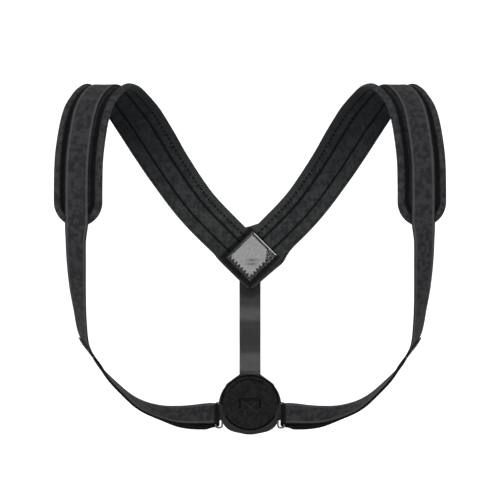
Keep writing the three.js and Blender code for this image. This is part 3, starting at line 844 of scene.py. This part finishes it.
# Junction: the flat meeting of the pads, on the face that touches the wearer
JUNCTION_ROW = next(row for row in PAD_BACK if row[ACROSS] == 0)
JUNCTION_TILT = math.radians(180 - JUNCTION_ROW[PITCH])
JUNCTION_AT = np.array([0, JUNCTION_ROW[BACK] * BODY_DEPTH, -VEE_DROP])
JUNCTION_OUT = np.array([0, math.cos(JUNCTION_TILT), math.sin(JUNCTION_TILT)])
JUNCTION_UP = np.array([0, -math.sin(JUNCTION_TILT), math.cos(JUNCTION_TILT)])


def to_junction(x, out, up):
    """Points of the junction's own frame, in the frame of the whole brace."""
    x, out, up = (np.asarray(v, float)[..., None] for v in (x, out, up))
    return JUNCTION_AT + X_AXIS * x + JUNCTION_OUT * out + JUNCTION_UP * up


def patch_height(a, b):
    """Height of the patch's face. a runs to its upper right edge and b to its lower right edge."""
    half = PATCH_SIDE / 2
    inward = half - np.maximum(np.abs(a), np.abs(b))
    edge = np.sqrt(np.clip(inward / 0.8, 0, 1))
    rolled = 0.75 * smooth(inward, 0.6, 3.4)
    flap = 0.5 * bell(half - a, 0.7, 0.6)
    tuck_pitch, tuck_width, tuck_depth, tuck_reach = 4.7, 0.75, 0.75, 6.5
    tucks = np.zeros_like(a)
    for run, to_edge, start in ((b, half + a, -half + 1.5), (a, half - b, -half + 4)):
        offset = (run - start) % tuck_pitch - tuck_pitch / 2
        near_edge = smooth(-to_edge, -tuck_reach, -1.5)
        tucks = np.maximum(tucks, bell(offset, 0, tuck_width) * near_edge)
    across, up = (a + b) / math.sqrt(2), (a - b) / math.sqrt(2)
    dent_depth, dent_across, dent_up, dent_wide, dent_high = 0.3, 2.5, -5.5, 8, 3
    dent = dent_depth * bell(across, dent_across, dent_wide) * bell(up, dent_up, dent_high)
    corner_start, corner_end = 16.8, 18.8
    in_corner = smooth(across, corner_start, corner_end)
    turned = (-0.35 + 0.3 * np.sin(2.3 * up) * np.cos(1.9 * across)) * in_corner
    return PATCH_THICKNESS * 0.5 * edge + rolled + flap - tuck_depth * tucks - dent + turned


def make_patch(material):
    """The leather square. Its upper right edge reaches out as a flap, with a painted highlight along it."""
    count, crowding, flap_reach, face_lift = 141, 0.98, 4.0, 0.4
    half = PATCH_SIDE / 2
    quarter = math.pi / 2 * crowding
    line = half * np.sin(np.linspace(-1, 1, count) * quarter) / math.sin(quarter)
    a, b = np.meshgrid(line, line, indexing="ij")
    wide_a = a + flap_reach * smooth(a, 0, half)
    x, up = (wide_a + b) / math.sqrt(2), (wide_a - b) / math.sqrt(2) + PATCH_LIFT
    face = to_junction(x, -GAP - PATCH_THICKNESS * face_lift - patch_height(a, b), up)
    base = to_junction(x, np.full_like(x, -GAP), up)
    grid = np.arange(count * count).reshape(count, count)
    under = grid + count * count
    polygons = sheet_quads(grid) + [quad[::-1] for quad in sheet_quads(under)]
    rim = np.concatenate([grid[0, :-1], grid[:-1, -1], grid[-1, :0:-1], grid[:0:-1, 0]])
    polygons += ring_quads(rim[None], rim[None] + count * count)
    points = np.vstack([face.reshape(-1, 3), base.reshape(-1, 3)])
    marks = np.zeros((len(points), 3))
    # Painted highlight along the upper right edge, stopping short of its lower end.
    edge_highlight = smooth(a, half - 1.2, half - 0.9) * smooth(-a, -half + 0.05, -half + 0.25)
    edge_highlight = edge_highlight * smooth(b, -half * 0.86, -half * 0.8)
    marks[:count * count, 2] = edge_highlight.ravel()
    piece = make_object("centre_patch_leather", points, polygons, marks)
    finish_piece(piece, "patch_leather", [material], "centre_patch")


def back_strap_frames():
    """The satin strap from behind the junction down to the disc, in the long waves that it hangs in."""
    steps, wave_length, wave_height, first_light, still_end = 150, 57, 3.4, -252, 22
    level = PAD_THICKNESS + GAP + WEB_THICKNESS / 2
    upper = [to_junction(0, level, up) for up in (BACK_STRAP_OVERLAP, 0, -VEE_TIP_TRIM)]
    lower = [to_disc([0, 0, DISC_RADIUS + past]) for past in (BACK_STRAP_SINK, GAP, -BACK_STRAP_SINK)]
    line = Course(upper + lower, [JUNCTION_OUT] * 3 + [DISC_OUT] * 3)
    at, side, out = line.frames(np.linspace(0, line.length, steps))
    disc_top = -WAIST_DROP + DISC_RADIUS
    free = smooth(-at[:, 2], VEE_DROP, VEE_DROP + VEE_TIP_TRIM)
    free *= smooth(at[:, 2], disc_top, disc_top + still_end)
    wave = np.sin(2 * math.pi * (at[:, 2] - first_light) / wave_length)
    at = at + out * (wave_height * wave * free)[:, None]
    return at, side, out


def disc_reach(angle):
    """Radius of the disc's outline at angles from its top."""
    slope_angle, shoulder_end, fullest_angle, full_spread = np.radians([38, 50, 135, 30])
    from_top = np.abs(angle)
    full = np.maximum(0, 1 - ((from_top - fullest_angle) / full_spread) ** 2)
    low = DISC_RADIUS + DISC_FULLNESS * full ** 2
    top = (DISC_RADIUS + DISC_SHOULDER) / np.cos(np.minimum(from_top, shoulder_end))
    slope = (DISC_RADIUS + DISC_SHOULDER / 2) / np.cos(from_top - slope_angle)
    return np.where(from_top > shoulder_end, low, np.maximum(DISC_RADIUS, np.minimum(top, slope)))


def make_disc(material):
    """Two quilted faces with sewn rings, a ribbed lower rim and the pressed box of the strap's stitches."""
    spokes, softenings, hub = 240, 3, 0.02
    ring_radius, ring_lift, ring_width, ring_depth = 33.0, 1.8, 0.75, 0.3
    inner_radius, inner_width, inner_depth = 27.8, 0.55, 0.14
    box_half, box_top, box_low, box_width = 11.3, 5.0, -7.0, 1.25
    rib_count, rib_height, rim_roll, least_rise = 60, 0.05, 0.05, 0.02
    heights = [[0, 1.0], [0.3, 1.0], [0.62, 0.98], [0.76, 0.9], [0.85, 0.74], [0.93, 0.66], [1.0, 0.6]]
    angles = np.linspace(-math.pi, math.pi, spokes, endpoint=False)
    shares = np.concatenate([np.linspace(hub, 0.8, 36), np.linspace(0.81, 0.985, 34), [0.992, 0.997, 1.0]])
    reach = disc_reach(angles)
    for _ in range(softenings):
        reach = (np.roll(reach, 1) + 2 * reach + np.roll(reach, -1)) / 4
    out = shares[:, None] * (reach + DISC_SWELL)[None, :]
    share = np.repeat(shares[:, None], spokes, axis=1)
    x, z = out * np.sin(angles), out * np.cos(angles)
    radius = np.hypot(x, z - ring_lift)
    ring_line = bell(radius, ring_radius, ring_width)
    near_top = smooth(np.cos(angles), 0.45, 0.9)[None, :]
    inner_line = bell(radius, inner_radius, inner_width) * near_top
    rim = np.sqrt(np.clip(1 - np.clip((share - 1 + rim_roll) / rim_roll, 0, 1) ** 2, 0, 1))
    ribs = rib_height * np.cos(angles * rib_count)[None, :] * smooth(share, 0.91, 0.95)
    ribs = ribs * smooth(-np.cos(angles), 0.35, 0.75)[None, :]
    rise = curve_at(heights, share) * rim - ring_depth * ring_line - inner_depth * inner_line + ribs
    rise = np.maximum(rise * DISC_THICKNESS / 2, least_rise)
    rim_face = smooth(radius, ring_radius + 0.6, ring_radius + 1.2) * smooth(-share, -1.0, -0.985)
    box_middle, box_high = (box_top + box_low) / 2, (box_top - box_low) / 2
    to_box = np.maximum(np.abs(x) - box_half, np.abs(z - box_middle) - box_high)
    box_line = bell(to_box, 0, box_width) * smooth(z, box_low - 0.5, box_low + 2)
    mark = np.maximum(np.maximum(ring_line, inner_line), box_line) - rim_face
    front, behind = (stacked(x, height, z) for height in (-rise, rise))
    rings = np.concatenate([front, behind[::-1][1:]])
    marks = stacked(x, z, mark)
    marks = np.concatenate([marks, marks[::-1][1:]])
    index = np.arange(len(rings) * spokes).reshape(len(rings), spokes)
    points = to_disc(rings.reshape(-1, 3))
    piece = make_object("back_disc_padding", points, capped_quads(index), marks.reshape(-1, 3))
    finish_piece(piece, "disc_fabric", [material], "back_disc")


def make_ring(name, mirror, material):
    """A wire ring with rounded corners."""
    wire_sides, corner_steps = 20, 10
    half_wide = (RING_WIDTH - RING_WIRE) / 2
    half_high = (RING_HEIGHT - RING_WIRE) / 2
    middle = INNER_BAR + half_wide
    centres, outs = [], []
    for quarter, (sx, sz) in enumerate(((1, 1), (-1, 1), (-1, -1), (1, -1))):
        corner_x = middle + sx * (half_wide - RING_CORNER)
        corner_z = -RING_DROP + sz * (half_high - RING_CORNER)
        for i in range(corner_steps + 1):
            angle = (quarter + i / corner_steps) * math.pi / 2
            out = np.array([math.cos(angle), 0, math.sin(angle)])
            centres.append([corner_x, 0, corner_z] + out * RING_CORNER)
            outs.append(out)
    centres, outs = np.array(centres), np.array(outs)
    around = np.linspace(0, 2 * math.pi, wire_sides, endpoint=False)[None, :, None]
    spread = outs[:, None] * np.cos(around) + np.array([0, 1, 0]) * np.sin(around)
    ring = to_disc(centres[:, None] + spread * RING_WIRE / 2)
    ring[..., 0] *= mirror
    piece = solid_mesh(f"{name}_wire", ring, np.zeros_like(ring), joined=True)
    finish_piece(piece, "ring_steel", [material], name)


def make_tab(name, mirror, material):
    """The webbing loop that holds a ring in the disc's edge."""
    turn_steps, pressed = 15, 0.6
    inner = RING_WIRE / 2 + GAP
    reach = OUTER_BAR - TURN_RADIUS - WEB_THICKNESS / 2 - TAB_THICKNESS + pressed
    root = INNER_BAR - RING_WIRE / 2 - GAP - TAB_THICKNESS - TAB_COVER
    between = (root + INNER_BAR) / 2
    mid = TAB_THICKNESS / 2
    points = [[root, -inner - mid, 0, -1], [between, -inner - mid, 0, -1]]
    for angle in np.linspace(-math.pi / 2, math.pi / 2, turn_steps):
        nx, ny = math.cos(angle), math.sin(angle)
        points.append([INNER_BAR + (reach - INNER_BAR) * nx + mid * nx, (inner + mid) * ny, nx, ny])
    points += [[between, inner + mid, 0, 1], [root, inner + mid, 0, 1]]
    points = np.array(points)
    level = np.full(len(points), -RING_DROP + TAB_LIFT)
    places = to_disc(stacked(points[:, 0], points[:, 1], level))
    facings = stacked(points[:, 2], points[:, 3], np.zeros(len(points)))
    outs = to_disc(facings) - to_disc([0, 0, 0])
    sides = np.repeat(DISC_UP[None], len(points), axis=0)
    make_webbing(f"{name}_webbing", (places, sides, outs), "webbing", material, mirror,
                 width=TAB_HEIGHT, thickness=TAB_THICKNESS, nodes=(name,))


def stitch_row(start, end, out, pitch, length=2.3, radius=0.32):
    """Small rounded stitches between two points, each as rings of points."""
    profile = [[-0.5, 0.25], [-0.42, 0.75], [-0.2, 1.0], [0.2, 1.0], [0.42, 0.75], [0.5, 0.25]]
    thread_sides = 6
    span = np.linalg.norm(end - start)
    along = (end - start) / span
    side = np.cross(along, out)
    count = max(1, int(round(span / pitch)))
    around = np.linspace(0, 2 * math.pi, thread_sides, endpoint=False)[:, None]
    spread = (side * np.cos(around) + out * np.sin(around)) * radius
    stitches = []
    for i in range(count):
        middle = start + along * span * (i + 0.5) / count
        stitches.append(np.array([
            middle + along * place * length + spread * share - out * radius * 0.5 * (1 - share)
            for place, share in profile
        ]))
    return stitches


def make_stitches(name, stitches, slot, material):
    """All the stitches of one thread as one piece."""
    polygons = []
    for number, rings in enumerate(stitches):
        count, size = rings.shape[:2]
        index = np.arange(count * size).reshape(count, size) + number * count * size
        polygons += capped_quads(index)
    points = np.vstack([rings.reshape(-1, 3) for rings in stitches])
    piece = make_object(name, points, polygons, np.zeros((len(points), 3)))
    finish_piece(piece, slot, [material])


def patch_stitches():
    """A row of stitches along each side of the patch."""
    edge_margin, sunk = 3.2, 0.1
    inset = PATCH_SIDE / 2 - edge_margin
    level = -GAP - PATCH_THICKNESS - sunk
    corners = []
    for a, b in ((inset, inset), (inset, -inset), (-inset, -inset), (-inset, inset)):
        corners.append(to_junction((a + b) / math.sqrt(2), level, (a - b) / math.sqrt(2) + PATCH_LIFT))
    rows = []
    for start, end in zip(corners, corners[1:] + corners[:1]):
        rows += stitch_row(start, end, -JUNCTION_OUT, pitch=3.4)
    return rows


def disc_stitches():
    """The box and the cross that hold the back strap inside the disc, as two lists of stitches."""
    half, top, low = 10.5, 5, -7
    left, right, high, deep = -7.2, 8.2, 1.9, -11.4
    level = -DISC_THICKNESS / 2 - 0.1
    box = [((-half, top), (half, top)), ((-half, top), (-half, low)), ((half, top), (half, low))]
    cross = [((left, high), (right, deep)), ((left, deep), (right, high))]
    groups = []
    for lines in (box, cross):
        rows = []
        for (x1, z1), (x2, z2) in lines:
            start, end = to_disc([[x1, level, z1], [x2, level, z2]])
            rows += stitch_row(start, end, -DISC_OUT, pitch=2.4, length=2.1, radius=0.45)
        groups.append(rows)
    return groups


def make_brace():
    """Every piece. The rings and their loops are drawn at +X, so the left ones are the mirrored ones."""
    web_start = WEB_WIDTH / 2 + 2
    web_tones = (0.0145, 0.0148, 0.017), (0.035, 0.0352, 0.038), (0.085, 0.085, 0.088)
    loop_tones = (0.008, 0.008, 0.009), (0.02, 0.02, 0.021), (0.045, 0.045, 0.047)
    knit, lining = knit_cloth(), lining_cloth()
    webbing = web_cloth("web_cloth", *web_tones, 0.8)
    loop_cloth = web_cloth("loop_cloth", *loop_tones, 0.85)
    dark_thread = thread("dark_thread", grey(0.004))
    grey_thread = thread("grey_thread", (0.017, 0.017, 0.018))
    plate = steel()
    frames = strap_frames()
    off_centre = frames[0][:, 0] < -web_start
    frames = tuple(values[off_centre] for values in frames)
    for side, mirror in (("left", 1), ("right", -1)):
        strap = f"side_strap_{side}"
        make_pad(side, mirror, [knit, lining])
        make_webbing(f"{strap}_webbing", frames, "webbing", webbing, mirror, nodes=(strap,))
        make_ring(f"ring_{side}", -mirror, plate)
        make_tab(f"ring_tab_{side}", -mirror, loop_cloth)
    make_patch(patch_leather())
    satin = satin_cloth()
    make_webbing("back_strap_satin", back_strap_frames(), "satin_webbing", satin, nodes=("back_strap",))
    make_disc(disc_cloth())
    make_stitches("patch_stitches", patch_stitches(), "patch_leather", dark_thread)
    box_rows, cross_rows = disc_stitches()
    make_stitches("disc_box_stitches", box_rows, "disc_fabric", dark_thread)
    make_stitches("disc_cross_stitches", cross_rows, "disc_fabric", grey_thread)


def make_stage():
    """A round pale floor that runs up into a pale wall on every side, brightest behind the brace."""
    floor, first_radius, wall_radius, bend, wall_top, spokes, bend_steps = -0.85, 0.5, 4.2, 1.2, 4.5, 96, 20
    front_paint, back_paint, paint_from, paint_to = grey(0.22), grey(0.6), -1.5, 2.0
    front_glow, back_glow, glow_from, glow_to = 0.12, 0.8, -2.0, 2.8
    flat_radius = wall_radius - bend
    profile = [(first_radius, floor), (flat_radius, floor)]
    for t in np.linspace(0, math.pi / 2, bend_steps)[1:]:
        profile.append((flat_radius + bend * math.sin(t), floor + bend - bend * math.cos(t)))
    profile.append((wall_radius, wall_top))
    around = np.linspace(0, 2 * math.pi, spokes, endpoint=False)
    points = [(0, 0, floor)] + [(r * math.cos(t), r * math.sin(t), z) for r, z in profile for t in around]
    index = np.arange(len(profile) * spokes).reshape(-1, spokes) + 1
    polygons = [(0, int(a), int(b)) for a, b in zip(index[0], np.roll(index[0], -1))]
    polygons += [quad[::-1] for quad in ring_quads(index[:-1], index[1:])]
    mesh = smooth_mesh("pale_floor", points, polygons)
    floor_object = add_object("pale_floor", mesh)
    g = Graph("pale_paper", 0.9, Specular_IOR_Level=0.1)
    g.shader.inputs["Emission Color"].default_value = (1, 1, 1, 1)
    depth = g.parts(g.place)[1]
    g.color(g.mix(g.range(depth, paint_from, paint_to), front_paint, back_paint))
    glow = g.range(depth, glow_from, glow_to, front_glow, back_glow)
    g.link(glow, g.shader.inputs["Emission Strength"])
    mesh.materials.append(g.material)


def area_light(name, place, target, size, power):
    data = bpy.data.lights.new(name, "AREA")
    data.shape = "RECTANGLE"
    data.size, data.size_y = size
    data.energy = power
    light = add_object(name, data)
    light.location = place
    light.rotation_euler = (Vector(target) - Vector(place)).to_track_quat("-Z", "Y").to_euler()


def make_lights():
    world = bpy.data.worlds.new("soft_room")
    world.use_nodes = True
    background = world.node_tree.nodes["Background"]
    background.inputs["Color"].default_value = (1, 1, 1, 1)
    background.inputs["Strength"].default_value = 0.25
    bpy.context.scene.world = world
    area_light("key_light", (-0.25, -1.7, 0.95), (0, 0, -0.15), (1.1, 0.4), 28)
    area_light("patch_light", (0.0, -1.75, -0.47), (0, 0.09, -0.19), (0.8, 0.42), 6.6)
    scene = bpy.context.scene
    scene.view_settings.view_transform = "Standard"
    scene.view_settings.look = "None"


def make_camera():
    data = bpy.data.cameras.new("front_camera")
    data.lens = 97.92
    data.sensor_width = 36
    camera = add_object("front_camera", data)
    camera.location = (0, -1.5, -0.177)
    camera.rotation_euler = (math.pi / 2, 0, 0)
    bpy.context.scene.camera = camera


make_camera()
make_brace()
make_stage()
make_lights()
